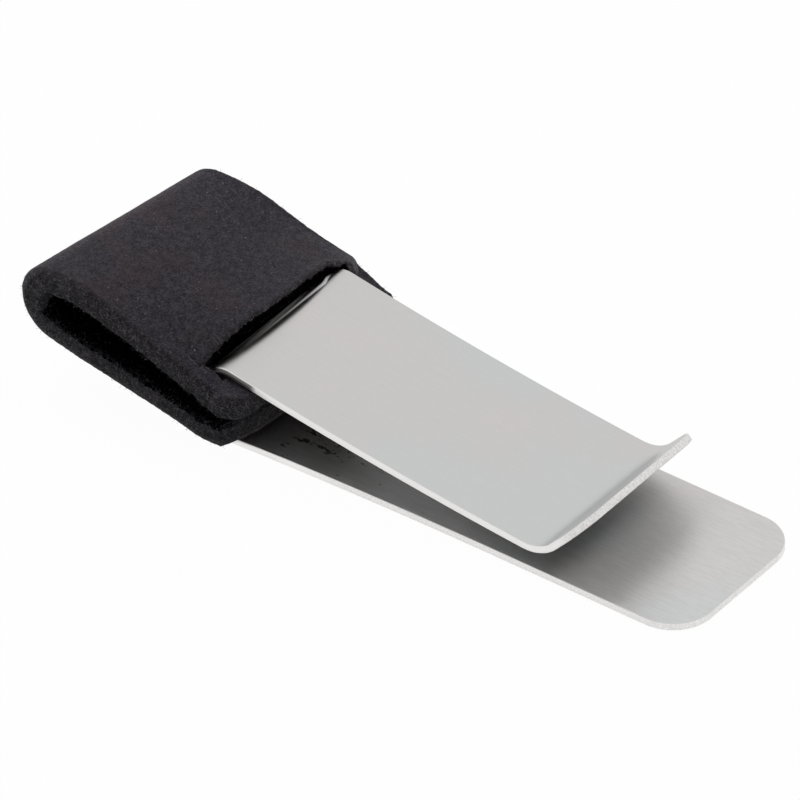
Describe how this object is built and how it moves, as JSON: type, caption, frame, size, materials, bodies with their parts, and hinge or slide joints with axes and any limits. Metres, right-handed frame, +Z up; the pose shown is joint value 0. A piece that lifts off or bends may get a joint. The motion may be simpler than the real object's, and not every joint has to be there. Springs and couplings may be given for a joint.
{
  "type": "spring clip with leather loop",
  "caption": "Flat spring-steel clip bent from one strip, with a folded leather loop round its bend, that grips a cover or papers between its jaws.",
  "frame": {"origin": "on the ground, under the middle of the whole clip", "axes": "+X from the bend towards the tips of the jaws, +Y across the strip, +Z up from the lower jaw to the upper jaw"},
  "size_m": [0.0778, 0.025, 0.0129],
  "materials": {
    "brushed_steel_lower": "brushed along its length",
    "brushed_steel_bend": "brushed along its length",
    "brushed_steel_upper": "brushed along its length",
    "black_leather": "matt nubuck, with raw cut edges"
  },
  "bodies": {
    "lower": {"lower_jaw": "brushed_steel_lower", "spring_bend": "brushed_steel_bend"},
    "upper": {"upper_jaw": "brushed_steel_upper"},
    "loop": {"leather_loop": "black_leather"}
  },
  "joints": [
    {"name": "jaw_hinge", "type": "hinge", "parent": "lower", "child": "upper", "pos_m": [-0.01575, 0, 0.00841], "axis": [0, -1, 0], "range_deg": [-2.4, 10], "stiffness_Nm_per_rad": 4.8},
    {"name": "loop_rock", "type": "hinge", "parent": "lower", "child": "loop", "pos_m": [-0.01859, 0, 0.00443], "axis": [0, 1, 0], "range_deg": [-2, 2]}
  ]
}
